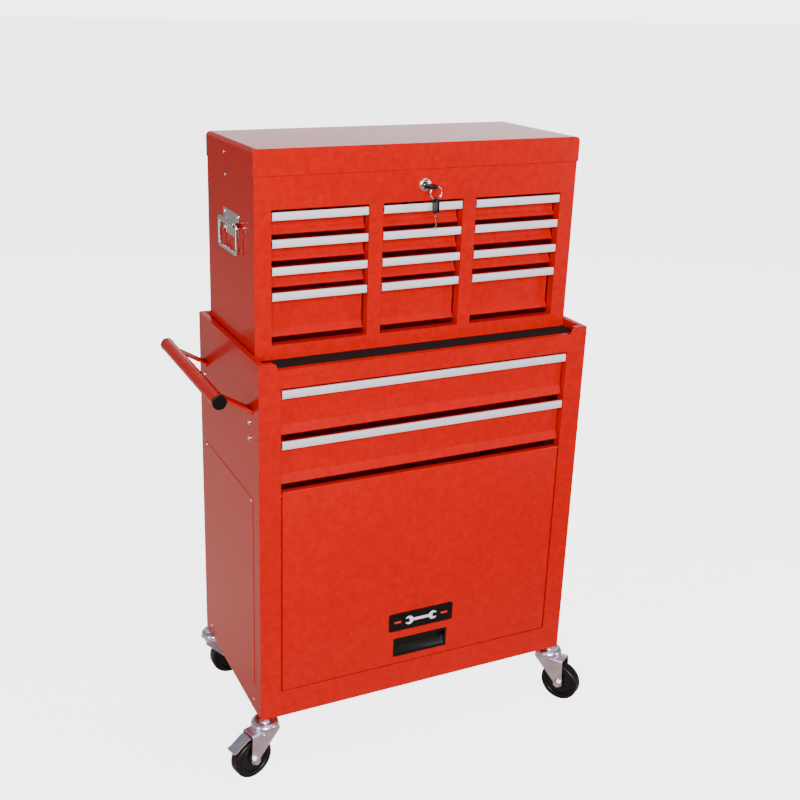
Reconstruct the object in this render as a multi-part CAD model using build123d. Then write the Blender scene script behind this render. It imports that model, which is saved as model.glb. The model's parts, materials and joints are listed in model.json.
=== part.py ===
from build123d import *
import math
import os

# A rolling tool chest: a cabinet on four casters with two wide drawers and a flip-up
# door, and a lift-off top chest with twelve small drawers under a hinged lid.
# Millimetres, +Z up. The origin is on the floor under the cabinet's middle; the front faces -Y.

# --- Driving sizes ---
SHEET = 1.2            # folded steel sheet
GAP = 0.3              # air between pieces on different bodies
FIT = 0.05             # radial running clearance of pins and shafts

CAB_W = 616            # cabinet, side to side
CAB_D = 326            # cabinet, front to back
CAB_LOW = 106          # underside of the cabinet
CAB_TOP = 763          # top of the raised rim
FRONT_LIP = 751        # top of the front rail, between the corner ears
JAMB_W = 38            # width of the cabinet's front posts
OPEN_LOW, OPEN_TOP = 156, 719
RETURN = 18            # depth of the folds behind the front frame
MAT_LOW, MAT_T = 747, 3

WIDE_TRAVEL_CLEAR = 22         # room kept behind the wide drawers
WIDE_ROWS = [(638, 653, 715.5), (551, 566.6, 627.5)]  # lower lip, band above it, pull top
WIDE_PULL_H = 13.5
PULL_T, PULL_HOOK = 1.2, 4     # aluminium strip clipped over a drawer's folded lip

DOOR_LOW, DOOR_TOP = 157, 538.5
DOOR_HALF = 268
DOOR_DEPTH = 12        # depth of the folded door pan
DOOR_ROD_R = 4
TRACK_Z = 530
EYE_PLACES = (80, 240) # inner ends of the door's hinge eyes, each side of the middle
EYE_L, EYE_RIM = 18, 7
CATCH_LOW, CATCH_TOP = 176, 206

CHEST_W = 590          # top chest
CHEST_D = 242
CHEST_Y = 12           # its middle, behind the cabinet's middle
CHEST_SEAT = MAT_LOW + MAT_T + GAP
CHEST_H = 296.5        # body without the lid
LID_H = 42
LID_PROUD = 1.5        # how far the lid stands out beyond the body at its front and ends
COLUMN_EDGES = [(-266, -98.5), (-73.5, 73.5), (98.5, 266)]
BAY_LOW, BAY_TOP = 24.5, 244
SMALL_ROWS = [(202.5, 212.6, 240), (159.9, 169.8, 196.7), (117, 127.2, 152.4),
              (34.2, 45, 110.7)]      # lower lip, band above it, pull top
SMALL_PULL_H = 13
LOCK_Z = 271

WHEEL_R, WHEEL_W = 37, 23
CASTER_TRAIL = 30      # swivel axis to wheel centre, level
CASTER_INSET = 11      # stem from each face of the cabinet
CASTERS = [("front_left", -1, -1, 196, True), ("front_right", 1, -1, -59, False),
           ("rear_left", -1, 1, 3, True), ("rear_right", 1, 1, 20, False)]

HANDLE_X, HANDLE_Z = -372, 711
HANDLE_R = 11.5
HANDLE_Y0, HANDLE_Y1 = -160, 146
HANDLE_FEET = (-121, 129)      # where its two brackets stand along the side
ARM_W, ARM_T = 30, 4   # flat bar of the brackets
ARM_FOOT, ARM_EXIT = 612, 672  # foot of a bracket's inner leg, and where it leaves through the side
BOLT_LEVELS = (624, 652)

# --- Places worked out from them ---
CAB_X = CAB_W / 2
CAB_Y = CAB_D / 2
OPEN_X = CAB_X - JAMB_W
RIM_W = 10.2           # width of the cabinet's turned-in rim
CHEST_X = CHEST_W / 2
CHEST_FRONT = CHEST_Y - CHEST_D / 2
CHEST_REAR = CHEST_Y + CHEST_D / 2

os.makedirs("parts", exist_ok=True)


# --- Small makers used all over ---
def block(x0, x1, y0, y1, z0, z1):
    """A plain box between two corners."""
    return Pos((x0 + x1) / 2, (y0 + y1) / 2, (z0 + z1) / 2) * Box(x1 - x0, y1 - y0, z1 - z0)


def rod_x(radius, x0, x1, y, z):
    """A round bar along X."""
    return Pos((x0 + x1) / 2, y, z) * Rot(0, 90, 0) * Cylinder(radius, x1 - x0)


def rod_y(radius, y0, y1, x, z):
    """A round bar along Y."""
    return Pos(x, (y0 + y1) / 2, z) * Rot(90, 0, 0) * Cylinder(radius, y1 - y0)


def rod_z(radius, z0, z1, x, y):
    """A round bar along Z."""
    return Pos(x, y, (z0 + z1) / 2) * Cylinder(radius, z1 - z0)


def frame_ring(x0, x1, y0, y1, z0, z1, wall=SHEET):
    """The fold that lines an opening in a front, from y0 back to y1."""
    outer = block(x0 - wall, x1 + wall, y0, y1, z0 - wall, z1 + wall)
    return outer - block(x0, x1, y0 - 1, y1 + 1, z0, z1)


def folded(points, x0, x1, thick=SHEET):
    """Sheet folded along (y, z) points, its thickness to the left of the line."""
    outline = offset(Polyline(*points), amount=thick, side=Side.LEFT,
                     closed=True, kind=Kind.INTERSECTION)
    return Pos(x0, 0, 0) * extrude(Plane.YZ * make_face(outline), x1 - x0)


def save(name, *pieces):
    """One node: its pieces stay separate solids."""
    solids = [solid for piece in pieces for solid in piece.solids()]
    shape = solids[0] if len(solids) == 1 else Compound(children=solids)
    export_step(shape, f"parts/{name}.step")


# --- Cabinet shell: sides and back in one folded sheet, with the rim turned in ---
def cabinet_shell():
    front = -CAB_Y + SHEET
    wrap = block(-CAB_X, CAB_X, front, CAB_Y, CAB_LOW, CAB_TOP)
    inner_x = CAB_X - SHEET
    wrap -= block(-inner_x, inner_x, front - 1, CAB_Y - SHEET, CAB_LOW - 1, CAB_TOP + 1)
    rim = block(-CAB_X, CAB_X, front, CAB_Y, CAB_TOP - SHEET, CAB_TOP)
    rim -= block(-CAB_X + RIM_W, CAB_X - RIM_W, front - 1, CAB_Y - RIM_W,
                 CAB_TOP - 2, CAB_TOP + 1)
    shell = wrap + rim
    for y in HANDLE_FEET:
        shell -= block(-CAB_X - 1, -inner_x + 1, y - ARM_W / 2 - 0.5, y + ARM_W / 2 + 0.5,
                       ARM_EXIT - 1, ARM_EXIT + ARM_T + 4)
    return shell


save("cabinet_shell", cabinet_shell())


# --- Front frame of the cabinet: one sheet with the big opening, folds and raised ears ---
def cabinet_frame():
    ear_flat, ear_end = CAB_X - 25, OPEN_X
    edge = Line((0, CAB_LOW), (CAB_X, CAB_LOW)) + Line((CAB_X, CAB_LOW), (CAB_X, CAB_TOP))
    edge += Line((CAB_X, CAB_TOP), (ear_flat, CAB_TOP))
    middle = (ear_flat + ear_end) / 2
    edge += Spline((ear_flat, CAB_TOP), (middle, (CAB_TOP + FRONT_LIP) / 2),
                   (ear_end, FRONT_LIP), tangents=[(-1, 0), (-1, 0)])
    edge += Line((ear_end, FRONT_LIP), (0, FRONT_LIP)) + Line((0, FRONT_LIP), (0, CAB_LOW))
    right = extrude(Plane.XZ * make_face(edge), SHEET)
    sheet = Pos(0, -CAB_Y + SHEET, 0) * (right + mirror(right, about=Plane.YZ))
    sheet -= block(-OPEN_X, OPEN_X, -CAB_Y - 5, -CAB_Y + 5, OPEN_LOW, OPEN_TOP)
    behind = -CAB_Y + SHEET
    sheet += frame_ring(-OPEN_X, OPEN_X, -CAB_Y, -CAB_Y + RETURN, OPEN_LOW, OPEN_TOP)
    sheet += block(-ear_end, ear_end, behind, -CAB_Y + 11, FRONT_LIP - SHEET, FRONT_LIP)
    for side in (-1, 1):
        x0, x1 = sorted((side * ear_flat, side * (CAB_X - RIM_W)))
        sheet += block(x0, x1, behind, -CAB_Y + 11, CAB_TOP - SHEET, CAB_TOP)
        x0, x1 = sorted((side * (OPEN_X - 1), side * (OPEN_X + SHEET + 1)))
        sheet -= block(x0, x1, behind, -CAB_Y + RETURN + 1, TRACK_Z - 6, TRACK_Z + 6)
    return sheet


save("cabinet_frame", cabinet_frame())

# --- Tray in the top, and the foam mat that lies in it ---
TRAY_X = CAB_X - RIM_W
TRAY_FRONT = -CAB_Y + 11
TRAY_REAR = CAB_Y - RIM_W
deck = block(-TRAY_X, TRAY_X, TRAY_FRONT, TRAY_REAR, MAT_LOW - SHEET, CAB_TOP - SHEET)
deck -= block(-TRAY_X + SHEET, TRAY_X - SHEET, TRAY_FRONT + SHEET, TRAY_REAR - SHEET,
              MAT_LOW, CAB_TOP)
deck -= block(-TRAY_X - 1, TRAY_X + 1, TRAY_FRONT - 1, TRAY_FRONT + SHEET + 0.01,
              FRONT_LIP, CAB_TOP)
save("top_tray", deck)
mat_air = 0.2
save("top_mat", block(-TRAY_X + SHEET + mat_air, TRAY_X - SHEET - mat_air,
                      TRAY_FRONT + SHEET + mat_air, TRAY_REAR - SHEET - mat_air,
                      MAT_LOW, MAT_LOW + MAT_T))

# --- Bottom: the pan that carries the casters, and the floor of the bay above it ---
PAN_X, PAN_Y = CAB_X - SHEET, CAB_Y - SHEET
pan = block(-PAN_X, PAN_X, -PAN_Y, PAN_Y, CAB_LOW, CAB_LOW + 16)
pan -= block(-PAN_X + SHEET, PAN_X - SHEET, -PAN_Y + SHEET, PAN_Y - SHEET,
             CAB_LOW + SHEET, CAB_LOW + 17)
for _, side, end, _, _ in CASTERS:
    stem_x, stem_y = side * (CAB_X - CASTER_INSET), end * (CAB_Y - CASTER_INSET)
    pan -= rod_z(5.3, CAB_LOW - 1, CAB_LOW + 3, stem_x, stem_y)
save("bottom_pan", pan)
bay_floor_z = OPEN_LOW - SHEET
floor_y = -CAB_Y + RETURN
bay_floor = block(-PAN_X, PAN_X, floor_y, PAN_Y, bay_floor_z - SHEET, bay_floor_z)
save("bay_floor", bay_floor)

# --- Riveted lower side panels ---
SIDE_T = 0.8
PANEL_Y, PANEL_LOW, PANEL_TOP = 131, 157, 520
save("side_panels", *[
    block(*sorted((s * CAB_X, s * (CAB_X + SIDE_T))), -PANEL_Y, PANEL_Y, PANEL_LOW, PANEL_TOP)
    for s in (-1, 1)])

# --- Push handle: tube, plastic end caps and two flat-bar brackets bolted inside ---
tube = rod_y(HANDLE_R, HANDLE_Y0, HANDLE_Y1, HANDLE_X, HANDLE_Z)
tube -= rod_y(HANDLE_R - 1.5, HANDLE_Y0 - 1, HANDLE_Y1 + 1, HANDLE_X, HANDLE_Z)
save("handle_tube", tube)
CAP_R, CAP_T = 12, 5
caps = []
for end, inward in ((HANDLE_Y0, 1), (HANDLE_Y1, -1)):
    flange = rod_y(CAP_R, *sorted((end, end - inward * CAP_T)), HANDLE_X, HANDLE_Z)
    plug = rod_y(HANDLE_R - 1.5, *sorted((end, end + inward * 14)), HANDLE_X, HANDLE_Z)
    caps.append(flange + plug)
save("handle_caps", *caps)


def handle_bracket(y):
    """Inner leg on the side panel, then a bar that rises outwards to the tube."""
    leg_x = -CAB_X + SHEET
    rise = math.atan2(HANDLE_Z - ARM_EXIT - ARM_T / 2, -CAB_X - HANDLE_X)
    length = math.hypot(HANDLE_Z - ARM_EXIT - ARM_T / 2, -leg_x - abs(HANDLE_X))
    leg = block(leg_x, leg_x + ARM_T, y - ARM_W / 2, y + ARM_W / 2,
                ARM_FOOT, ARM_EXIT + ARM_T)
    arm = Pos(leg_x + ARM_T / 2, y, ARM_EXIT + ARM_T / 2) * Rot(0, math.degrees(rise), 0)
    arm = arm * Pos(-length / 2, 0, 0) * Box(length, ARM_W, ARM_T)
    arm -= rod_y(HANDLE_R, y - ARM_W, y + ARM_W, HANDLE_X, HANDLE_Z)
    bar = leg + arm
    return max(bar.solids(), key=lambda piece: piece.volume)


save("handle_brackets", *[handle_bracket(y) for y in HANDLE_FEET])


# --- Bolts and rivets on the cabinet's sides ---
def side_head(side, y, z, radius, high, on=CAB_X):
    """A low domed head on a side panel."""
    head = rod_x(radius, *sorted((side * on, side * (on + high))), y, z)
    rim = head.edges().filter_by(GeomType.CIRCLE)
    rim = rim.sort_by(Axis.X)[-1 if side > 0 else 0]
    return fillet(rim, high * 0.6)


fasteners = []
for y in HANDLE_FEET:
    for z in BOLT_LEVELS:
        fasteners.append(side_head(-1, y + 4, z, 4.2, 2.2))
for side in (-1, 1):
    for y in (-PANEL_Y + 5, PANEL_Y - 4):
        fasteners.append(side_head(side, y, PANEL_TOP - 4, 3, 1.3, CAB_X + SIDE_T))
        fasteners.append(side_head(side, y, CAB_LOW + 22, 3, 1.3))
save("cabinet_fasteners", *fasteners)


# --- Drawers: a folded tray; its front leans out at the lower lip and turns forward at the
# top into a ledge with a down-turned lip, which the aluminium pull is clipped over ---
def drawer_tray(x0, x1, row, nose, nose_h, face, lip, wall_x, back, flange_z, flange_w):
    """Front, box and carrying flanges of one drawer, all one welded sheet piece."""
    low, band, pull_top = row
    top, edge = pull_top - PULL_T - FIT, nose + PULL_T + FIT
    inner = face + SHEET
    front = folded([(face + 8, low + SHEET), (lip + SHEET, low + SHEET), (inner, band),
                    (inner, top), (edge, top), (edge, pull_top - nose_h + PULL_T + FIT)], x0, x1)
    middle = (x0 + x1) / 2
    left, right = middle - wall_x, middle + wall_x
    side_top = flange_z + FLANGE_DOWN
    tray = block(left, right, inner - 0.5, back, low, side_top)
    tray -= block(left + SHEET, right - SHEET, inner + 0.01, back - SHEET,
                  low + SHEET, side_top + 1)
    tray += front
    for side, wall in ((-1, left), (1, right)):
        a, b = sorted((wall, wall + side * flange_w))
        tray += block(a, b, inner + 22, back, flange_z, flange_z + SHEET)
    return tray


def pull(x0, x1, top, height, front):
    """Extruded strip clipped over a drawer's lip; the finger gap is behind it."""
    return folded([(front + PULL_HOOK, top), (front, top), (front, top - height),
                   (front + PULL_HOOK, top - height)], x0, x1, PULL_T)


def runner(wall, lip, y0, y1, z, drop=11):
    """Angle fixed to an upright, its free edge under a drawer's flange."""
    a, b = sorted((wall, lip))
    shelf = block(a, b, y0, y1, z - SHEET, z)
    inward = SHEET if lip > wall else -SHEET
    a, b = sorted((wall, wall + inward))
    return shelf + block(a, b, y0, y1, z - drop, z)


FLANGE_DOWN = 8        # a flange below the upper edge of its box
WIDE_FACE = -CAB_Y + 11.6
WIDE_LIP = WIDE_FACE - 6.6
WIDE_BOX = 257
WIDE_FLANGE = 10
WIDE_FLANGE_UP = 60    # flange above the drawer's lower edge
WIDE_NOSE = -CAB_Y - 0.4       # front plane of the pulls
WIDE_BACK = CAB_Y - SHEET - WIDE_TRAVEL_CLEAR
cabinet_runners = []
for number, row in enumerate(WIDE_ROWS, start=1):
    low, _, pull_top = row
    flange_z = low + WIDE_FLANGE_UP
    tray = drawer_tray(-OPEN_X + 2, OPEN_X - 2, row, WIDE_NOSE, WIDE_PULL_H, WIDE_FACE,
                       WIDE_LIP, WIDE_BOX, WIDE_BACK, flange_z, WIDE_FLANGE)
    rail = pull(-OPEN_X + 2, OPEN_X - 2, pull_top, WIDE_PULL_H, WIDE_NOSE)
    save(f"wide_drawer_{number}", tray, rail)
    for side in (-1, 1):
        cabinet_runners.append(
            runner(side * PAN_X, side * (WIDE_BOX + 3), -CAB_Y + RETURN + 1, WIDE_BACK,
                   flange_z - GAP - 0.1))
save("cabinet_runners", *cabinet_runners)

# --- Door tracks: a channel on each side in which the door's rollers run ---
ROLLER_R, ROLLER_W = 7, 8
ROLLER_X = 274
ROD_Y = -CAB_Y + 8.5
TRACK_HALF = ROLLER_R + GAP
tracks = []
for side in (-1, 1):
    a, b = sorted((side * (ROLLER_X - 2), side * PAN_X))
    channel = block(a, b, -CAB_Y + SHEET + 0.1, CAB_Y - 20, TRACK_Z - TRACK_HALF - SHEET,
                    TRACK_Z + TRACK_HALF + SHEET)
    a, b = sorted((side * (ROLLER_X - 3), side * (ROLLER_X + ROLLER_W + 1)))
    channel -= block(a, b, -CAB_Y, CAB_Y, TRACK_Z - TRACK_HALF, TRACK_Z + TRACK_HALF)
    a, b = sorted((side * (ROLLER_X + ROLLER_W + 1 + SHEET), side * (PAN_X + 1)))
    channel -= block(a, b, -CAB_Y, CAB_Y, TRACK_Z - TRACK_HALF - SHEET - 1,
                     TRACK_Z + TRACK_HALF)
    tracks.append(channel)
save("door_tracks", *tracks)
magnets = []
for side in (-1, 1):
    a, b = sorted((side * (OPEN_X + SHEET), side * (OPEN_X + 11)))
    magnets.append(block(a, b, -CAB_Y + SHEET, -CAB_Y + 15, CATCH_LOW, CATCH_TOP))
save("door_magnets", *magnets)

# --- Door: a cross rod with rollers, and the folded door pan hung on it ---
carrier = rod_x(DOOR_ROD_R, -ROLLER_X, ROLLER_X, ROD_Y, TRACK_Z)
for side in (-1, 1):
    a, b = sorted((side * ROLLER_X, side * (ROLLER_X + ROLLER_W)))
    carrier += rod_x(ROLLER_R, a, b, ROD_Y, TRACK_Z)
save("door_carrier", carrier)

CUP_X, CUP_LOW, CUP_TOP = 54, 172, 209.7
door = block(-DOOR_HALF, DOOR_HALF, -CAB_Y, -CAB_Y + DOOR_DEPTH, DOOR_LOW, DOOR_TOP)
door -= block(-DOOR_HALF + SHEET, DOOR_HALF - SHEET, -CAB_Y + SHEET, -CAB_Y + DOOR_DEPTH + 1,
              DOOR_LOW + SHEET, DOOR_TOP - SHEET)
for side in (-1, 1):
    for x in EYE_PLACES:
        a, b = sorted((side * x, side * (x + EYE_L)))
        door += block(a, b, -CAB_Y + 0.5, ROD_Y, TRACK_Z - 5, TRACK_Z + 5)
        door += rod_x(EYE_RIM, a, b, ROD_Y, TRACK_Z)
door -= rod_x(DOOR_ROD_R + FIT, -DOOR_HALF - 1, DOOR_HALF + 1, ROD_Y, TRACK_Z)
door -= block(-CUP_X + 2, CUP_X - 2, -CAB_Y - 1, -CAB_Y + SHEET + 0.1, CUP_LOW + 2, CUP_TOP - 2)
save("door_panel", door)

# --- Pull cup set in the door, and the plain name plate above it ---
CUP_DEPTH = 11
bezel = block(-CUP_X, CUP_X, -CAB_Y - 0.8, -CAB_Y, CUP_LOW, CUP_TOP)
cup = block(-CUP_X + 2, CUP_X - 2, -CAB_Y - 0.5, -CAB_Y + CUP_DEPTH, CUP_LOW + 2, CUP_TOP - 2)
hollow = Polyline((-CAB_Y - 2, CUP_LOW + 4), (-CAB_Y + 1, CUP_LOW + 4),
                  (-CAB_Y + CUP_DEPTH - 1.5, CUP_LOW + 15), (-CAB_Y + CUP_DEPTH - 1.5, CUP_TOP - 4),
                  (-CAB_Y - 2, CUP_TOP - 4), close=True)
hollow = Pos(-CUP_X + 4, 0, 0) * extrude(Plane.YZ * make_face(hollow), 2 * CUP_X - 8)
save("door_pull_cup", bezel + cup - hollow)
plate = extrude(Plane.XZ * RectangleRounded(129, 36, 4), 1.2)
save("name_plate", Pos(0, -CAB_Y, 243.5) * plate)

# --- Casters: stem and nut on the cabinet, then fork, wheel and pedal below ---
CUP_LEVEL = 95         # middle of the ball cup, on the swivel axis
STEM_R, SHOULDER_R, STEM_NUT_R = 5, 9, 8.5
stems = []
for _, side, end, _, _ in CASTERS:
    stem_x, stem_y = side * (CAB_X - CASTER_INSET), end * (CAB_Y - CASTER_INSET)
    stem = rod_z(STEM_R, 86, CAB_LOW + 14, stem_x, stem_y)
    stem += rod_z(SHOULDER_R, CUP_LEVEL + 5.5, CAB_LOW, stem_x, stem_y)
    nut = extrude(RegularPolygon(STEM_NUT_R, 6), 7)
    stem += Pos(stem_x, stem_y, CAB_LOW + SHEET) * nut
    stem += rod_z(8, 84, 86, stem_x, stem_y)
    stems.append(stem)
save("caster_stems", *stems)

CROWN_Z = 88           # top of the fork's crown, under the cup
CROWN_X0, CROWN_X1 = -22, 36
CUP_R = 24.8
FORK_GAP = WHEEL_W / 2 + 1.5
LEG_T = 2.5
TIP_R = 9              # round end of a leg, about the axle
AXLE_R = 4
AXLE_HEAD_R, AXLE_HEAD_T = 7.5, 5


def caster_fork():
    """Cup round the stem, two legs that trail back to the axle, and the axle bolt."""
    cup = rod_z(CUP_R, CROWN_Z, CUP_LEVEL + 5, 0, 0)
    cup = fillet(cup.edges().filter_by(GeomType.CIRCLE).sort_by(Axis.Z)[-1], 4)
    half = FORK_GAP + LEG_T
    crown = block(CROWN_X0, CROWN_X1, -half, half, CROWN_Z - LEG_T, CROWN_Z + 0.5)
    cup = cup + crown - rod_z(10, 80, CROWN_Z + 2.5, 0, 0)
    cup -= rod_z(STEM_R + FIT, 80, CUP_LEVEL + 6, 0, 0)
    side = Polyline((CROWN_X0, CROWN_Z), (CROWN_X1, CROWN_Z), (CASTER_TRAIL + TIP_R, WHEEL_R),
                    (CASTER_TRAIL - TIP_R, WHEEL_R), (CROWN_X0, CROWN_Z - 8), close=True)
    leg = extrude(Plane.XZ * (make_face(side) + Pos(CASTER_TRAIL, WHEEL_R) * Circle(TIP_R)), LEG_T)
    body = cup
    for y in (-FORK_GAP, FORK_GAP + LEG_T):
        body += Pos(0, y, 0) * leg
    body += rod_y(AXLE_R, -FORK_GAP - 7, FORK_GAP + 7, CASTER_TRAIL, WHEEL_R)
    hexagon = extrude(RegularPolygon(AXLE_HEAD_R, 6), AXLE_HEAD_T / 2, both=True)
    for y in (-half - AXLE_HEAD_T / 2, half + AXLE_HEAD_T / 2):
        body += Pos(CASTER_TRAIL, y, WHEEL_R) * Rot(90, 0, 0) * hexagon
    return body


DISH_R, HUB_R, DISH = 26, 11, 3        # ring-shaped dish in each side of the wheel


def caster_wheel():
    """Hard rubber wheel with a groove each side and a bore for the axle."""
    wheel = rod_y(WHEEL_R, -WHEEL_W / 2, WHEEL_W / 2, CASTER_TRAIL, WHEEL_R)
    wheel = fillet(wheel.edges().filter_by(GeomType.CIRCLE), 4)
    for y0, y1 in ((-WHEEL_W, -WHEEL_W / 2 + DISH), (WHEEL_W / 2 - DISH, WHEEL_W)):
        groove = rod_y(DISH_R, y0, y1, CASTER_TRAIL, WHEEL_R)
        groove -= rod_y(HUB_R, y0 - 1, y1 + 1, CASTER_TRAIL, WHEEL_R)
        wheel -= groove
    return wheel - rod_y(AXLE_R + FIT, -WHEEL_W, WHEEL_W, CASTER_TRAIL, WHEEL_R)


PEDAL_X, PEDAL_Z = 12, 81
PEDAL_PIN_R, PEDAL_HALF = 2, 11


def brake_pedal():
    """Bent lever on a cross pin through the legs; its pad meets the tread."""
    pin = rod_y(PEDAL_PIN_R, -FORK_GAP - 5, FORK_GAP + 5, PEDAL_X, PEDAL_Z)
    boss = rod_y(2 * PEDAL_PIN_R, -FORK_GAP + 0.5, FORK_GAP - 0.5, PEDAL_X, PEDAL_Z)
    bar = Polyline((PEDAL_X - 2, PEDAL_Z - 1), (PEDAL_X + 30, PEDAL_Z + 3), (PEDAL_X + 60, 66),
                   (PEDAL_X + 60, 62.5), (PEDAL_X + 30, PEDAL_Z - 0.5), (PEDAL_X - 2, PEDAL_Z - 4),
                   close=True)
    lever = extrude(Plane.XZ * make_face(bar), PEDAL_HALF, both=True)
    return pin + boss + lever


for name, side, end, angle, braked in CASTERS:
    place = Pos(side * (CAB_X - CASTER_INSET), end * (CAB_Y - CASTER_INSET), 0) * Rot(0, 0, angle)
    fork = caster_fork()
    if braked:
        fork -= rod_y(PEDAL_PIN_R + FIT, -WHEEL_W, WHEEL_W, PEDAL_X, PEDAL_Z)
        save(f"pedal_{name}", place * brake_pedal())
    save(f"fork_{name}", place * fork)
    save(f"wheel_{name}", place * caster_wheel())

# --- Top chest body: sides, back and bottom, with the upper edge turned in ---
BASE = CHEST_SEAT
FRONT_IN = CHEST_FRONT + SHEET
INNER_X = CHEST_X - SHEET
body = block(-CHEST_X, CHEST_X, FRONT_IN, CHEST_REAR, BASE, BASE + CHEST_H)
body -= block(-INNER_X, INNER_X, FRONT_IN - 1, CHEST_REAR - SHEET, BASE + SHEET,
              BASE + CHEST_H - SHEET)
body -= block(-CHEST_X + 11, CHEST_X - 11, FRONT_IN - 1, CHEST_REAR - 11,
              BASE + CHEST_H - 2, BASE + CHEST_H + 1)
save("chest_shell", body)

# --- Front frame of the chest: three drawer openings and the plain panel above ---
LOCK_HOLE_R = 9.5
front = block(-CHEST_X, CHEST_X, CHEST_FRONT, FRONT_IN, BASE, BASE + CHEST_H)
for x0, x1 in COLUMN_EDGES:
    front -= block(x0, x1, CHEST_FRONT - 1, FRONT_IN + 1, BASE + BAY_LOW, BASE + BAY_TOP)
    front += frame_ring(x0, x1, CHEST_FRONT, CHEST_FRONT + RETURN - 1,
                        BASE + BAY_LOW, BASE + BAY_TOP)
front += block(-CHEST_X + 12, CHEST_X - 12, FRONT_IN, CHEST_FRONT + 11,
               BASE + CHEST_H - SHEET, BASE + CHEST_H)
front -= rod_y(LOCK_HOLE_R, CHEST_FRONT - 1, FRONT_IN + 1, 0, BASE + LOCK_Z)
save("chest_frame", front)

# --- Inside the chest: two partitions, the till floor and the drawer runners ---
PARTITION_X = (COLUMN_EDGES[1][1] + COLUMN_EDGES[2][0]) / 2
TILL_Z = 247
INSIDE_Y0, INSIDE_Y1 = CHEST_FRONT + RETURN, CHEST_REAR - SHEET
partitions = [block(s * PARTITION_X - SHEET / 2, s * PARTITION_X + SHEET / 2, INSIDE_Y0,
                    INSIDE_Y1, BASE + SHEET, BASE + TILL_Z) for s in (-1, 1)]
till_floor = block(-INNER_X, INNER_X, INSIDE_Y0, INSIDE_Y1, BASE + TILL_Z,
                   BASE + TILL_Z + SHEET)
save("chest_dividers", till_floor, *partitions)

SMALL_FACE = CHEST_FRONT + 19
SMALL_LIP = SMALL_FACE - 7
SMALL_BACK = CHEST_REAR - 9
SMALL_FLANGE = 5
SMALL_FLANGE_DROP = 15 # flange below the pull's top
SMALL_NOSE = CHEST_FRONT - 0.3
BOX_INSET = 8
chest_runners = []
for column, (x0, x1) in enumerate(COLUMN_EDGES, start=1):
    middle, wall_x = (x0 + x1) / 2, (x1 - x0) / 2 - BOX_INSET
    uprights = [(-INNER_X, -PARTITION_X - SHEET / 2),
                (-PARTITION_X + SHEET / 2, PARTITION_X - SHEET / 2),
                (PARTITION_X + SHEET / 2, INNER_X)][column - 1]
    for number, row in enumerate(SMALL_ROWS, start=1):
        levels = [BASE + level for level in row]
        flange_z = levels[2] - SMALL_FLANGE_DROP
        tray = drawer_tray(x0 + 1.5, x1 - 1.5, levels, SMALL_NOSE, SMALL_PULL_H, SMALL_FACE,
                           SMALL_LIP, wall_x, SMALL_BACK, flange_z, SMALL_FLANGE)
        rail = pull(x0 + 1.5, x1 - 1.5, levels[2], SMALL_PULL_H, SMALL_NOSE)
        save(f"drawer_{column}{number}", tray, rail)
        for upright, side in zip(uprights, (-1, 1)):
            chest_runners.append(
                runner(upright, middle + side * (wall_x + 1.5), SMALL_FACE + 6, SMALL_BACK,
                       flange_z - GAP - 0.1, 7))
save("chest_runners", *chest_runners)

# --- Lid: a sheet bent down at both ends, with front and back folded, hinged at the back ---
LID_LOW = BASE + CHEST_H + GAP
LID_TOP = LID_LOW + LID_H
LID_R = 8              # bend along the two ends of the top; the front and back edges are sharp
LID_X, LID_FRONT = CHEST_X + LID_PROUD, CHEST_FRONT - LID_PROUD
cover = block(-LID_X, LID_X, LID_FRONT, CHEST_REAR, LID_LOW, LID_TOP)
cover = fillet(cover.edges().group_by(Axis.Z)[-1].filter_by(Axis.Y), LID_R)
cavity = block(-LID_X + SHEET, LID_X - SHEET, LID_FRONT + SHEET, CHEST_REAR - SHEET,
               LID_LOW - 5, LID_TOP - SHEET)
cavity = fillet(cavity.edges().group_by(Axis.Z)[-1].filter_by(Axis.Y), LID_R - SHEET)
save("lid", cover - cavity)

# --- Piano hinge: a leaf on the chest, a leaf on the lid and the pin ---
HINGE_R, PIN_R = 2.7, 1.5
HINGE_Y, HINGE_Z = CHEST_REAR + HINGE_R, BASE + CHEST_H + GAP / 2
KNUCKLES = 14
KNUCKLE_L = 36
hinge_pin = rod_x(PIN_R, -KNUCKLES * KNUCKLE_L / 2, KNUCKLES * KNUCKLE_L / 2, HINGE_Y, HINGE_Z)
hinge_start = -KNUCKLES * KNUCKLE_L / 2
for name, sign in (("hinge_leaf_chest", -1), ("hinge_leaf_lid", 1)):
    z0, z1 = sorted((HINGE_Z + sign * (HINGE_R + GAP), HINGE_Z + sign * 14))
    leaf = block(hinge_start, -hinge_start, CHEST_REAR, CHEST_REAR + 1, z0, z1)
    for index in range(0 if sign < 0 else 1, KNUCKLES, 2):
        x0 = hinge_start + index * KNUCKLE_L + GAP
        x1 = x0 + KNUCKLE_L - 2 * GAP
        leaf += rod_x(HINGE_R, x0, x1, HINGE_Y, HINGE_Z)
        z0, z1 = sorted((HINGE_Z + sign * 0.2, HINGE_Z + sign * (HINGE_R + 1)))
        leaf += block(x0, x1, CHEST_REAR, CHEST_REAR + 1, z0, z1)
    leaf -= rod_x(PIN_R + FIT, hinge_start - 1, -hinge_start + 1, HINGE_Y, HINGE_Z)
    save(name, leaf, *([hinge_pin] if sign < 0 else []))


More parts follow.
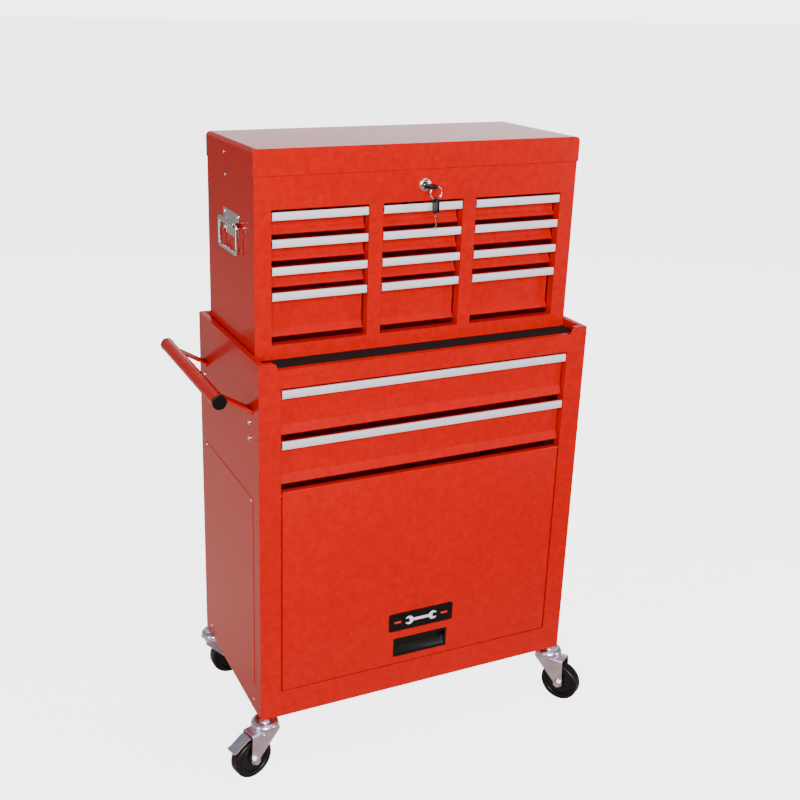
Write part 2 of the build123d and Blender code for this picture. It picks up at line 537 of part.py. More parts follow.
# --- Drop handles on the chest's sides: a plate rolled round a loop of rod ---
BAIL_Y, BAIL_Z = CHEST_Y - 9.5, BASE + 208
BAIL_R, BARREL_R = 3, 5.2
PLATE_T = 1.2
BAIL_X = CHEST_X + PLATE_T + BARREL_R
PLATE_HALF = 40
LOOP_H, LOOP_W, LOOP_CORNER = 46, 90, 4
BAIL_RIVET_Y, BAIL_RIVET_Z = 33, (-15, 12)
STAY_Y = CHEST_Y + 21  # rivets of the lid's stay, inside
plates = []
for side, name in ((-1, "left"), (1, "right")):
    a, b = sorted((side * CHEST_X, side * (CHEST_X + PLATE_T)))
    plate = block(a, b, BAIL_Y - PLATE_HALF, BAIL_Y + PLATE_HALF, BAIL_Z - 23, BAIL_Z + 18)
    barrel = rod_y(BARREL_R, BAIL_Y - PLATE_HALF, BAIL_Y + PLATE_HALF, side * BAIL_X, BAIL_Z)
    a, b = sorted((side * CHEST_X, side * BAIL_X))
    barrel += block(a, b, BAIL_Y - PLATE_HALF, BAIL_Y + PLATE_HALF,
                    BAIL_Z - BARREL_R, BAIL_Z + BARREL_R)
    plate += barrel
    plate -= rod_y(BAIL_R + FIT, BAIL_Y - 60, BAIL_Y + 60, side * BAIL_X, BAIL_Z)
    plates.append(plate)
    loop = RectangleRounded(LOOP_W, LOOP_H, LOOP_CORNER)
    path = (Plane.YZ * Pos(BAIL_Y, BAIL_Z - LOOP_H / 2) * loop).wire()
    section = Plane(origin=path @ 0, z_dir=path % 0) * Circle(BAIL_R)
    save(f"bail_{name}", Pos(side * BAIL_X, 0, 0) * sweep(section, path))
save("bail_plates", *plates)

chest_rivets = []
for side in (-1, 1):
    for y in (BAIL_Y - BAIL_RIVET_Y, BAIL_Y + BAIL_RIVET_Y):
        for z in BAIL_RIVET_Z:
            chest_rivets.append(side_head(side, y, BAIL_Z + z, 3, 1.4, CHEST_X + PLATE_T))
    chest_rivets.append(side_head(side, STAY_Y, BASE + 280, 3, 1.3, CHEST_X))
save("chest_rivets", *chest_rivets)
save("lid_rivets", *[side_head(s, STAY_Y, BASE + 317, 3, 1.3, LID_X) for s in (-1, 1)])

# --- Lock in the chest's front: housing, turning plug with its cam, and the key ---
LOCK_Y = CHEST_FRONT
LOCK_UP = BASE + LOCK_Z
BEZEL_R, SLEEVE_R, PLUG_R = 10.8, 9, 7
housing = rod_y(BEZEL_R, LOCK_Y - 4, LOCK_Y, 0, LOCK_UP)
housing = fillet(housing.edges().filter_by(GeomType.CIRCLE).sort_by(Axis.Y)[0], 2)
housing += rod_y(SLEEVE_R, LOCK_Y - 1, LOCK_Y + 16, 0, LOCK_UP)
housing += rod_y(BEZEL_R + 1, LOCK_Y + SHEET, LOCK_Y + 4, 0, LOCK_UP)
housing -= rod_y(PLUG_R + FIT, LOCK_Y - 10, LOCK_Y + 20, 0, LOCK_UP)
save("lock_housing", housing)

HEAD_T = 5
HEAD_Y0, HEAD_Y1 = LOCK_Y - 34, LOCK_Y - 10
plug = rod_y(PLUG_R, LOCK_Y - 3.6, LOCK_Y + 17, 0, LOCK_UP)
blade = block(-3.5, 3.5, HEAD_Y1, LOCK_Y, LOCK_UP - 1, LOCK_UP + 1)
cam = block(-5, 5, LOCK_Y + 17, LOCK_Y + 19, LOCK_UP - 6, LOCK_UP + 18)
save("lock_plug", plug + blade + cam)

EYE_X, EYE_Y, EYE_R = 1, LOCK_Y - 28, 4.2
head = block(-9, 9, HEAD_Y0, HEAD_Y1, LOCK_UP - HEAD_T / 2, LOCK_UP + HEAD_T / 2)
head = fillet(head.edges().filter_by(Axis.Z), 6)
head -= rod_z(EYE_R, LOCK_UP - 5, LOCK_UP + 5, EYE_X, EYE_Y)
save("key_head", head)
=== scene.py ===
import json
import math

import bmesh
import bpy
from mathutils import Matrix, Vector


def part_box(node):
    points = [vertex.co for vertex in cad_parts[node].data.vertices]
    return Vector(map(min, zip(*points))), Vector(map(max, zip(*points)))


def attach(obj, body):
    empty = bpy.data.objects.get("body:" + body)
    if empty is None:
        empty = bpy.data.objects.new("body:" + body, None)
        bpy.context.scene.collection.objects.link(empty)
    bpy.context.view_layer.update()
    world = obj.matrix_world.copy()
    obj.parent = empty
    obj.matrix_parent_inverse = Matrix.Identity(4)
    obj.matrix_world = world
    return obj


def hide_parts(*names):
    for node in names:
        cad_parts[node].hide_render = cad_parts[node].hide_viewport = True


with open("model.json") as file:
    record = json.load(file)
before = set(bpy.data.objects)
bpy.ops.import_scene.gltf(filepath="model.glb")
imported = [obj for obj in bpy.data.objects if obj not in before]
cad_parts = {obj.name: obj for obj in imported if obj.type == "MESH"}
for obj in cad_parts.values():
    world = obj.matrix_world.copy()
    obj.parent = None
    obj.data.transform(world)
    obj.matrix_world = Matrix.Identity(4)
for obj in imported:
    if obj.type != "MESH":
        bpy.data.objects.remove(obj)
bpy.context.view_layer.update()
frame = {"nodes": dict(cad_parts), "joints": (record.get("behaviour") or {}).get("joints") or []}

# --- Camera ---
# The chest is seen from its left front corner, from a little above the lid.
camera_data = bpy.data.cameras.new("camera")
camera_data.lens = 48.34
camera_data.shift_x = 0.0729
camera_data.shift_y = -0.0526
camera = bpy.data.objects.new("camera", camera_data)
bpy.context.scene.collection.objects.link(camera)
camera_turn = Matrix.Rotation(math.radians(-23.83), 4, "Z")
camera_tilt = Matrix.Rotation(math.radians(90 - 18.58), 4, "X")
camera_roll = Matrix.Rotation(math.radians(1.06), 4, "Z")
camera_place = Matrix.Translation((-0.827, -1.658, 1.309))
camera.matrix_world = camera_place @ camera_turn @ camera_tilt @ camera_roll
bpy.context.scene.camera = camera

# --- Studio: floor and light ---
# A wide floor runs into a surround, and both look brighter to the camera than the light they give.
# To every other ray, so in reflections and bounced light, the floor is painted dark in front of the
# object and warm behind it: a painted reflection, set along Y, that the red faces and metal mirror.
floor_white = (0.9, 0.9, 0.9, 1)
painted_reflection_dark = (0.13, 0.12, 0.11, 1)
painted_reflection_warm = (0.8, 0.68, 0.58, 1)
painted_reflection_dark_y, painted_reflection_warm_y = -0.7, 0.4
floor_glow_seen = 3.6
surround_given, surround_seen = 0.26, 4.6
floor_mesh = bpy.data.meshes.new("studio_floor")
bm = bmesh.new()
bmesh.ops.create_grid(bm, x_segments=1, y_segments=1, size=60)
bm.to_mesh(floor_mesh)
bm.free()
floor = bpy.data.objects.new("studio_floor", floor_mesh)
bpy.context.scene.collection.objects.link(floor)
floor_paint = bpy.data.materials.new("studio_floor_paint")
floor_paint.use_nodes = True
floor_tree = floor_paint.node_tree
floor_shader = floor_tree.nodes["Principled BSDF"]
floor_shader.inputs["Roughness"].default_value = 0.9
floor_shader.inputs["Specular IOR Level"].default_value = 0
floor_shader.inputs["Emission Color"].default_value = (1, 1, 1, 1)
seen_by = floor_tree.nodes.new("ShaderNodeLightPath")
floor_place = floor_tree.nodes.new("ShaderNodeTexCoord")
floor_axes = floor_tree.nodes.new("ShaderNodeSeparateXYZ")
floor_tree.links.new(floor_place.outputs["Object"], floor_axes.inputs["Vector"])
# Painted reflection: a dark-to-warm ramp along the floor's Y, seen only in reflections and bounce.
painted_reflection_ramp = floor_tree.nodes.new("ShaderNodeValToRGB")
painted_reflection_ramp.color_ramp.elements[0].color = painted_reflection_dark
painted_reflection_ramp.color_ramp.elements[1].color = painted_reflection_warm
painted_reflection_span = floor_tree.nodes.new("ShaderNodeMapRange")
painted_reflection_span.inputs["From Min"].default_value = painted_reflection_dark_y
painted_reflection_span.inputs["From Max"].default_value = painted_reflection_warm_y
floor_tree.links.new(floor_axes.outputs["Y"], painted_reflection_span.inputs["Value"])
floor_tree.links.new(painted_reflection_span.outputs["Result"], painted_reflection_ramp.inputs["Fac"])
# Plain white for camera rays, the painted reflection ramp for every other ray.
floor_tone = floor_tree.nodes.new("ShaderNodeMix")
floor_tone.data_type = "RGBA"
floor_tone.inputs[7].default_value = floor_white
floor_tree.links.new(seen_by.outputs["Is Camera Ray"], floor_tone.inputs["Factor"])
floor_tree.links.new(painted_reflection_ramp.outputs["Color"], floor_tone.inputs[6])
floor_tree.links.new(floor_tone.outputs[2], floor_shader.inputs["Base Color"])
floor_glow = floor_tree.nodes.new("ShaderNodeMath")
floor_glow.operation = "MULTIPLY"
floor_glow.inputs[1].default_value = floor_glow_seen
floor_tree.links.new(seen_by.outputs["Is Camera Ray"], floor_glow.inputs[0])
floor_tree.links.new(floor_glow.outputs["Value"], floor_shader.inputs["Emission Strength"])
floor_mesh.materials.append(floor_paint)

world = bpy.data.worlds.new("studio_surround")
world.use_nodes = True
world_tree = world.node_tree
surround = world_tree.nodes["Background"]
surround.inputs["Color"].default_value = (1, 1, 1, 1)
looked_at = world_tree.nodes.new("ShaderNodeLightPath")
surround_level = world_tree.nodes.new("ShaderNodeMapRange")
surround_level.inputs["To Min"].default_value = surround_given
surround_level.inputs["To Max"].default_value = surround_seen
world_tree.links.new(looked_at.outputs["Is Camera Ray"], surround_level.inputs["Value"])
world_tree.links.new(surround_level.outputs["Result"], surround.inputs["Strength"])
bpy.context.scene.world = world


def soft_light(name, place, aim, width, height, power):
    """A rectangular area light at place, facing aim."""
    data = bpy.data.lights.new(name, "AREA")
    data.shape = "RECTANGLE"
    data.size = width
    data.size_y = height
    data.energy = power
    light = bpy.data.objects.new(name, data)
    light.location = place
    light.rotation_euler = (Vector(aim) - Vector(place)).to_track_quat("-Z", "Y").to_euler()
    bpy.context.scene.collection.objects.link(light)


soft_light("key_light", (-1.0, -3.2, 1.9), (0, 0, 0.6), 2.0, 1.6, 178)
soft_light("top_light", (0.6, -0.2, 3.2), (0, 0, 0.6), 2.6, 2.0, 25)
soft_light("back_panel", (1.5, 3.6, 1.5), (0, 0, 1.0), 5.0, 0.7, 22)
soft_light("left_strip", (-3.0, -1.2, 1.1), (0, 0, 0.6), 0.5, 2.2, 22)
soft_light("right_strip", (2.6, -2.2, 1.0), (0, 0, 0.6), 0.6, 2.2, 30)

# --- Red powder coat ---
# Every painted sheet is pressed steel, dipped in zinc wash and powder coated in one gloss red.
# The baked powder flows out into a fine orange peel, with a slight unevenness of depth.


def node_link(tree, source, target):
    """Joins one node's output socket to another's input socket."""
    tree.links.new(source, target)


def powder_coat(name, deep, bright, roughness, peel):
    """Gloss powder coat: two close reds mixed by noise, a clear coat and orange peel."""
    material = bpy.data.materials.new(name)
    material.use_nodes = True
    tree = material.node_tree
    shader = tree.nodes["Principled BSDF"]
    place = tree.nodes.new("ShaderNodeTexCoord")
    cloud = tree.nodes.new("ShaderNodeTexNoise")
    cloud.inputs["Scale"].default_value = 95
    cloud.inputs["Detail"].default_value = 6
    cloud.inputs["Roughness"].default_value = 0.7
    node_link(tree, place.outputs["Object"], cloud.inputs["Vector"])
    ramp = tree.nodes.new("ShaderNodeValToRGB")
    ramp.color_ramp.elements[0].position = 0.3
    ramp.color_ramp.elements[0].color = (*deep, 1)
    ramp.color_ramp.elements[1].position = 0.7
    ramp.color_ramp.elements[1].color = (*bright, 1)
    node_link(tree, cloud.outputs["Fac"], ramp.inputs["Fac"])
    node_link(tree, ramp.outputs["Color"], shader.inputs["Base Color"])
    grain = tree.nodes.new("ShaderNodeTexNoise")
    grain.inputs["Scale"].default_value = 420
    grain.inputs["Detail"].default_value = 2
    node_link(tree, place.outputs["Object"], grain.inputs["Vector"])
    gloss = tree.nodes.new("ShaderNodeMapRange")
    gloss.inputs["To Min"].default_value = roughness * 0.8
    gloss.inputs["To Max"].default_value = roughness * 1.25
    node_link(tree, cloud.outputs["Fac"], gloss.inputs["Value"])
    node_link(tree, gloss.outputs["Result"], shader.inputs["Roughness"])
    bump = tree.nodes.new("ShaderNodeBump")
    bump.inputs["Strength"].default_value = peel
    bump.inputs["Distance"].default_value = 0.0004
    node_link(tree, grain.outputs["Fac"], bump.inputs["Height"])
    node_link(tree, bump.outputs["Normal"], shader.inputs["Normal"])
    shader.inputs["Specular IOR Level"].default_value = 0.15
    shader.inputs["Coat Weight"].default_value = 0.34
    shader.inputs["Coat Roughness"].default_value = 0.05
    shader.inputs["Coat IOR"].default_value = 1.45
    return material


red = powder_coat("red_powder_coat", (0.47, 0.0006, 0.0001), (0.6, 0.001, 0.0002), 0.3, 0.3)


def finish_piece(name, bm, body, material, edge=0.0, angle=30, sheet=0.0):
    """Turns a finished bmesh into a piece: smooth shaded, its thickness and eased edges added."""
    mesh = bpy.data.meshes.new(name)
    if not sheet:
        bmesh.ops.recalc_face_normals(bm, faces=bm.faces)
    bm.to_mesh(mesh)
    bm.free()
    mesh.shade_smooth()
    mesh.set_sharp_from_angle(angle=math.radians(angle))
    mesh.materials.append(material)
    piece = bpy.data.objects.new(name, mesh)
    bpy.context.scene.collection.objects.link(piece)
    if sheet:
        wall = piece.modifiers.new("sheet thickness", "SOLIDIFY")
        wall.thickness = sheet
        wall.offset = -1
        wall.use_even_offset = True
    if edge:
        ease = piece.modifiers.new("eased edges", "BEVEL")
        ease.width = edge
        ease.segments = 2
        ease.limit_method = "ANGLE"
        ease.angle_limit = math.radians(angle)
        ease.harden_normals = True
    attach(piece, body)
    return piece


def packed_shape(node):
    """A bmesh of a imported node, its loose triangles joined back into flat faces."""
    bm = bmesh.new()
    bm.from_mesh(frame["nodes"][node].data)
    bmesh.ops.remove_doubles(bm, verts=bm.verts, dist=1e-6)
    bmesh.ops.dissolve_limit(bm, angle_limit=math.radians(0.5), verts=bm.verts, edges=bm.edges)
    return bm


def eased_copy(node, body, material, edge):
    """A packed sheet-metal node with its edges eased, shown in its place."""
    piece = finish_piece(node + "_shown", packed_shape(node), body, material, edge)
    for layer in list(piece.data.uv_layers):
        piece.data.uv_layers.remove(layer)
    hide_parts(node)
    return piece


# --- Cabinet body ---
# The shell is one wrapped sheet with its rim turned in, closed by the welded front frame,
# the top tray, the bottom pan and the floor of the bay. Two smaller panels are riveted outside.
for node in ("cabinet_shell", "cabinet_frame", "top_tray", "bottom_pan", "bay_floor"):
    eased_copy(node, "cabinet", red, 0.0004)
eased_copy("side_panels", "cabinet", red, 0.0003)

# --- Chest body ---
# The upper chest is the same work: a wrapped shell, a front frame pierced for three columns of
# drawers, two partitions with the till floor, and a lid with its corners welded and dressed.
for node in ("chest_shell", "chest_frame", "chest_dividers"):
    eased_copy(node, "chest", red, 0.0004)
eased_copy("lid", "lid", red, 0.0004)

# --- Foam mat ---
# A sheet of closed-cell foam rubber, cut to drop into the top tray. Its face is a fine pebble
# that scatters the light, and its cut edges are slightly pressed.
foam = bpy.data.materials.new("black_foam_sheet")
foam.use_nodes = True
foam_tree = foam.node_tree
foam_shader = foam_tree.nodes["Principled BSDF"]
foam_place = foam_tree.nodes.new("ShaderNodeTexCoord")
foam_cells = foam_tree.nodes.new("ShaderNodeTexVoronoi")
foam_cells.inputs["Scale"].default_value = 520
node_link(foam_tree, foam_place.outputs["Object"], foam_cells.inputs["Vector"])
foam_dust = foam_tree.nodes.new("ShaderNodeTexNoise")
foam_dust.inputs["Scale"].default_value = 24
foam_dust.inputs["Detail"].default_value = 8
node_link(foam_tree, foam_place.outputs["Object"], foam_dust.inputs["Vector"])
foam_tone = foam_tree.nodes.new("ShaderNodeValToRGB")
foam_tone.color_ramp.elements[0].color = (0.006, 0.006, 0.0062, 1)
foam_tone.color_ramp.elements[1].color = (0.013, 0.013, 0.0135, 1)
node_link(foam_tree, foam_dust.outputs["Fac"], foam_tone.inputs["Fac"])
node_link(foam_tree, foam_tone.outputs["Color"], foam_shader.inputs["Base Color"])
foam_bump = foam_tree.nodes.new("ShaderNodeBump")
foam_bump.inputs["Strength"].default_value = 0.5
foam_bump.inputs["Distance"].default_value = 0.0004
node_link(foam_tree, foam_cells.outputs["Distance"], foam_bump.inputs["Height"])
node_link(foam_tree, foam_bump.outputs["Normal"], foam_shader.inputs["Normal"])
foam_shader.inputs["Roughness"].default_value = 0.85
foam_shader.inputs["Specular IOR Level"].default_value = 0.15
eased_copy("top_mat", "cabinet", foam, 0.0007)

# --- Drawers ---
# A drawer is one folded tray. Its front leans out at the lower lip, and at the top it turns
# forward into a ledge with a down-turned nose. The box is welded behind, with a flange each side.


def within(bm, known):
    """The vertices of bm made since known was noted."""
    return [vert for vert in bm.verts if vert not in known]


def add_folded(bm, line, x0, x1, fold):
    """A strip from x0 to x1 folded along (y, z) points, each fold rounded."""
    known = set(bm.verts)
    verts = [bm.verts.new((x0, y, z)) for y, z in line]
    edges = [bm.edges.new(pair) for pair in zip(verts, verts[1:])]
    made = bmesh.ops.extrude_edge_only(bm, edges=edges)["geom"]
    far = [item for item in made if isinstance(item, bmesh.types.BMVert)]
    bmesh.ops.translate(bm, vec=(x1 - x0, 0, 0), verts=far)
    fresh = set(within(bm, known))
    folds = [edge for edge in bm.edges if fresh.issuperset(edge.verts) and len(edge.link_faces) == 2]
    bmesh.ops.bevel(bm, geom=folds, offset=fold, segments=3, profile=0.5, affect="EDGES", material=-1)


def add_open_box(bm, x0, x1, y0, y1, z0, z1, corner):
    """A box with no top, its upright corners rounded, its faces outwards."""
    known = set(bm.verts)
    bmesh.ops.create_cube(bm, size=1)
    verts = within(bm, known)
    bmesh.ops.scale(bm, vec=(x1 - x0, y1 - y0, z1 - z0), verts=verts)
    bmesh.ops.translate(bm, vec=((x0 + x1) / 2, (y0 + y1) / 2, (z0 + z1) / 2), verts=verts)
    bm.normal_update()
    fresh = set(verts)
    top = [face for face in bm.faces if fresh.issuperset(face.verts) and face.normal.z > 0.9]
    bmesh.ops.delete(bm, geom=top, context="FACES_ONLY")
    upright = [edge for edge in bm.edges if fresh.issuperset(edge.verts)
               and abs(edge.verts[0].co.z - edge.verts[1].co.z) > (z1 - z0) / 2]
    bmesh.ops.bevel(bm, geom=upright, offset=corner, segments=3, profile=0.5, affect="EDGES",
                    material=-1)


sheet_t = 0.0012


def drawer_tray(node, x0, x1, low, band, top, nose, nose_h, face, lip, wall, back, flange, flange_w):
    """The red tray of one drawer."""
    bm = bmesh.new()
    edge = nose + sheet_t + 0.00005
    inner = face + sheet_t
    ledge = top - sheet_t - 0.00005
    add_folded(bm, [(edge, top - nose_h + sheet_t + 0.00005), (edge, ledge), (inner, ledge),
                    (inner, band), (lip + sheet_t, low + sheet_t), (face + 0.008, low + sheet_t)],
               x0, x1, 0.0009)
    middle = (x0 + x1) / 2
    left, right = middle - wall, middle + wall
    add_open_box(bm, left, right, inner, back, low, flange + 0.008, 0.002)
    for side, start in ((-1, left), (1, right)):
        outer = start + side * flange_w
        near = inner + 0.022
        rim = [bm.verts.new((x, y, flange + sheet_t)) for x, y in
               ((start, near), (outer, near), (outer, back), (start, back))]
        bm.faces.new(rim if side > 0 else rim[::-1])
    return finish_piece(node + "_tray", bm, node, red, 0.0003, 30, sheet_t)


# --- Aluminium pulls ---
# Every drawer has an extruded aluminium strip clipped over its nose. The face is flat
# and brushed lengthways, and its edges wrap the folded lip.
aluminium = bpy.data.materials.new("brushed_aluminium")
aluminium.use_nodes = True
alu_tree = aluminium.node_tree
alu_shader = alu_tree.nodes["Principled BSDF"]
alu_place = alu_tree.nodes.new("ShaderNodeTexCoord")
alu_stretch = alu_tree.nodes.new("ShaderNodeMapping")
alu_stretch.inputs["Scale"].default_value = (6, 1500, 1500)
node_link(alu_tree, alu_place.outputs["Object"], alu_stretch.inputs["Vector"])
alu_lines = alu_tree.nodes.new("ShaderNodeTexNoise")
alu_lines.inputs["Scale"].default_value = 1
alu_lines.inputs["Detail"].default_value = 4
node_link(alu_tree, alu_stretch.outputs["Vector"], alu_lines.inputs["Vector"])
alu_tone = alu_tree.nodes.new("ShaderNodeValToRGB")
alu_tone.color_ramp.elements[0].color = (0.88, 0.85, 0.93, 1)
alu_tone.color_ramp.elements[1].color = (0.97, 0.95, 1.0, 1)
node_link(alu_tree, alu_lines.outputs["Fac"], alu_tone.inputs["Fac"])
node_link(alu_tree, alu_tone.outputs["Color"], alu_shader.inputs["Base Color"])
alu_gloss = alu_tree.nodes.new("ShaderNodeMapRange")
alu_gloss.inputs["To Min"].default_value = 0.48
alu_gloss.inputs["To Max"].default_value = 0.64
node_link(alu_tree, alu_lines.outputs["Fac"], alu_gloss.inputs["Value"])
node_link(alu_tree, alu_gloss.outputs["Result"], alu_shader.inputs["Roughness"])
alu_bump = alu_tree.nodes.new("ShaderNodeBump")
alu_bump.inputs["Strength"].default_value = 0.15
alu_bump.inputs["Distance"].default_value = 0.0002
node_link(alu_tree, alu_lines.outputs["Fac"], alu_bump.inputs["Height"])
node_link(alu_tree, alu_bump.outputs["Normal"], alu_shader.inputs["Normal"])
alu_shader.inputs["Metallic"].default_value = 0.5


def pull_strip(node, x0, x1, top, height, front):
    """The aluminium strip of one drawer, drawn as a section and extruded along X."""
    wall = 0.0012
    hook = 0.004
    section = [(hook, 0), (0.001, 0), (0.0003, 0.0004), (0, 0.002), (0, height / 2),
               (0, height - 0.002), (0.0003, height - 0.0004), (0.001, height), (hook, height),
               (hook, height - wall), (wall, height - wall), (wall, wall), (hook, wall)]
    bm = bmesh.new()
    outline = bm.faces.new([bm.verts.new((x0, front + back, top - down)) for back, down in section])
    made = bmesh.ops.extrude_face_region(bm, geom=[outline])["geom"]
    far = [item for item in made if isinstance(item, bmesh.types.BMVert)]
    bmesh.ops.translate(bm, vec=(x1 - x0, 0, 0), verts=far)
    return finish_piece(node + "_pull", bm, node, aluminium, 0.0002)


# The twelve small drawers stand in three columns; each takes its width and height from its box.
small_bands = {1: 0.0101, 2: 0.0099, 3: 0.0102, 4: 0.0108}
small_nose, small_lean, small_side = 0.0193, 0.007, 0.0065
small_pull_h, small_flange_drop, small_flange_w = 0.013, 0.015, 0.005
for column in (1, 2, 3):
    for row in (1, 2, 3, 4):
        node = f"drawer_{column}{row}"
        low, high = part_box(node)
        face = low.y + small_nose
        wall = (high.x - low.x) / 2 - small_side
        tray = drawer_tray(node, low.x, high.x, low.z, low.z + small_bands[row], high.z, low.y,
                           small_pull_h, face, face - small_lean, wall, high.y,
                           high.z - small_flange_drop, small_flange_w)
        pull = pull_strip(node, low.x, high.x, high.z, small_pull_h, low.y)
        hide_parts(node)
        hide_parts(node)

# The two wide drawers in the cabinet are the same work at full width.
wide_nose, wide_lean, wide_side, wide_band = 0.012, 0.0066, 0.011, 0.0153
wide_pull_h, wide_flange_up, wide_flange_w = 0.0135, 0.06, 0.01
for node in ("wide_drawer_1", "wide_drawer_2"):
    low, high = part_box(node)
    face = low.y + wide_nose
    wall = (high.x - low.x) / 2 - wide_side
    tray = drawer_tray(node, low.x, high.x, low.z, low.z + wide_band, high.z, low.y, wide_pull_h,
                       face, face - wide_lean, wall, high.y, low.z + wide_flange_up, wide_flange_w)
    pull = pull_strip(node, low.x, high.x, high.z, wide_pull_h, low.y)
    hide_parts(node)
    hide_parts(node)

# --- Zinc-plated steel ---
# Runners, tracks, catches, casters and rivets are bright zinc plate. The passivated film leaves a
# faint violet and blue cast that drifts over the surface.


def plated_metal(name, cool, warm, smooth, rough, cast_scale):
    """Plated metal: two tints drifting into each other, with roughness and a faint bump from a finer
    noise.
    """
    material = bpy.data.materials.new(name)
    material.use_nodes = True
    tree = material.node_tree
    shader = tree.nodes["Principled BSDF"]
    place = tree.nodes.new("ShaderNodeTexCoord")
    cast = tree.nodes.new("ShaderNodeTexNoise")
    cast.inputs["Scale"].default_value = cast_scale
    cast.inputs["Detail"].default_value = 3
    node_link(tree, place.outputs["Object"], cast.inputs["Vector"])
    tint = tree.nodes.new("ShaderNodeValToRGB")
    tint.color_ramp.elements[0].position = 0.35
    tint.color_ramp.elements[0].color = (*cool, 1)
    tint.color_ramp.elements[1].position = 0.65
    tint.color_ramp.elements[1].color = (*warm, 1)
    node_link(tree, cast.outputs["Fac"], tint.inputs["Fac"])
    node_link(tree, tint.outputs["Color"], shader.inputs["Base Color"])
    scratch = tree.nodes.new("ShaderNodeTexNoise")
    scratch.inputs["Scale"].default_value = 900
    scratch.inputs["Detail"].default_value = 3
    node_link(tree, place.outputs["Object"], scratch.inputs["Vector"])
    gloss = tree.nodes.new("ShaderNodeMapRange")
    gloss.inputs["To Min"].default_value = smooth
    gloss.inputs["To Max"].default_value = rough
    node_link(tree, scratch.outputs["Fac"], gloss.inputs["Value"])
    node_link(tree, gloss.outputs["Result"], shader.inputs["Roughness"])
    bump = tree.nodes.new("ShaderNodeBump")
    bump.inputs["Strength"].default_value = 0.06
    bump.inputs["Distance"].default_value = 0.0002
    node_link(tree, scratch.outputs["Fac"], bump.inputs["Height"])
    node_link(tree, bump.outputs["Normal"], shader.inputs["Normal"])
    shader.inputs["Metallic"].default_value = 1
    return material


zinc = plated_metal("bright_zinc_plate", (0.78, 0.66, 0.95), (0.97, 0.95, 0.98), 0.2, 0.34, 60)
chrome = plated_metal("bright_chrome_plate", (0.92, 0.92, 0.92), (0.98, 0.98, 0.97), 0.05, 0.13, 40)
for node in ("cabinet_runners", "door_tracks", "door_magnets", "door_carrier", "caster_stems"):
    eased_copy(node, "door_carrier" if node == "door_carrier" else "cabinet", zinc, 0.0003)
eased_copy("cabinet_fasteners", "cabinet", zinc, 0.0002)
eased_copy("chest_runners", "chest", zinc, 0.0002)
eased_copy("chest_rivets", "chest", zinc, 0.0002)
eased_copy("lid_rivets", "lid", zinc, 0.0002)
eased_copy("hinge_leaf_chest", "chest", zinc, 0.0001)
eased_copy("hinge_leaf_lid", "lid", zinc, 0.0001)

# --- Door ---
# A shallow pan of sheet hung on a cross rod by four eyes. It swings up level, then slides back.
# A moulded cup near its lower edge takes the fingers, under a black badge plate.
door_low, door_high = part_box("door_panel")
cup_low, cup_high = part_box("door_pull_cup")
rod_low, rod_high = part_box("door_carrier")
rod_y, rod_z = (rod_low.y + rod_high.y) / 2, (rod_low.z + rod_high.z) / 2
pan_depth, pan_front, cup_margin = 0.012, door_low.y, 0.002
bm = bmesh.new()
bmesh.ops.create_cube(bm, size=1)
bmesh.ops.scale(bm, vec=(door_high.x - door_low.x, pan_depth, door_high.z - door_low.z), verts=bm.verts)
bmesh.ops.translate(bm, vec=(0, pan_front + pan_depth / 2, (door_low.z + door_high.z) / 2),
                    verts=bm.verts)
bm.normal_update()
rear = [face for face in bm.faces if face.normal.y > 0.9]
bmesh.ops.delete(bm, geom=rear, context="FACES_ONLY")
rounded = [edge for edge in bm.edges if len(edge.link_faces) == 2]
bmesh.ops.bevel(bm, geom=rounded, offset=0.0016, segments=4, profile=0.5, affect="EDGES", material=-1)
for x in (cup_low.x + cup_margin, cup_high.x - cup_margin):
    bmesh.ops.bisect_plane(bm, geom=bm.verts[:] + bm.edges[:] + bm.faces[:], plane_co=(x, 0, 0),
                           plane_no=(1, 0, 0))
for z in (cup_low.z + cup_margin, cup_high.z - cup_margin):
    bmesh.ops.bisect_plane(bm, geom=bm.verts[:] + bm.edges[:] + bm.faces[:], plane_co=(0, 0, z),
                           plane_no=(0, 0, 1))
bm.normal_update()
cutout = [face for face in bm.faces if face.normal.y < -0.9
          and cup_low.x < face.calc_center_median().x < cup_high.x
          and cup_low.z < face.calc_center_median().z < cup_high.z]
bmesh.ops.delete(bm, geom=cutout, context="FACES")
door_pan = finish_piece("door_pan", bm, "door", red, 0.0003, 30, 0.0012)
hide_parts("door_panel")


def turned(outline, steps=48):
    """A bmesh of a closed outline of (radius, height) points, spun round Z."""
    bm = bmesh.new()
    verts = [bm.verts.new((radius, 0, height)) for radius, height in outline]
    edges = [bm.edges.new(pair) for pair in zip(verts, verts[1:] + verts[:1])]
    bmesh.ops.spin(bm, geom=verts + edges, cent=(0, 0, 0), axis=(0, 0, 1), angle=2 * math.pi,
                   steps=steps, use_merge=True, use_duplicate=False)
    bmesh.ops.remove_doubles(bm, verts=bm.verts, dist=1e-7)
    bmesh.ops.recalc_face_normals(bm, faces=bm.faces)
    return bm


def add_part(bm, part, place):
    """Moves part by the matrix place and joins it into bm."""
    bmesh.ops.transform(part, matrix=place, verts=part.verts)
    carrier = bpy.data.meshes.new("joining")
    part.to_mesh(carrier)
    part.free()
    bm.from_mesh(carrier)
    bpy.data.meshes.remove(carrier)


along_x = Matrix.Rotation(math.pi / 2, 4, "Y")
along_y = Matrix.Rotation(-math.pi / 2, 4, "X")
eye_bore, eye_outer, eye_half = 0.00405, 0.007, 0.009
bm = bmesh.new()
for x in (-0.249, -0.089, 0.089, 0.249):
    ring = turned([(eye_bore, -eye_half), (eye_outer, -eye_half), (eye_outer, eye_half),
                   (eye_bore, eye_half)], 32)
    add_part(bm, ring, Matrix.Translation((x, rod_y, rod_z)) @ along_x)
door_eyes = finish_piece("door_eyes", bm, "door", zinc, 0.0003)
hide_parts("door_panel")

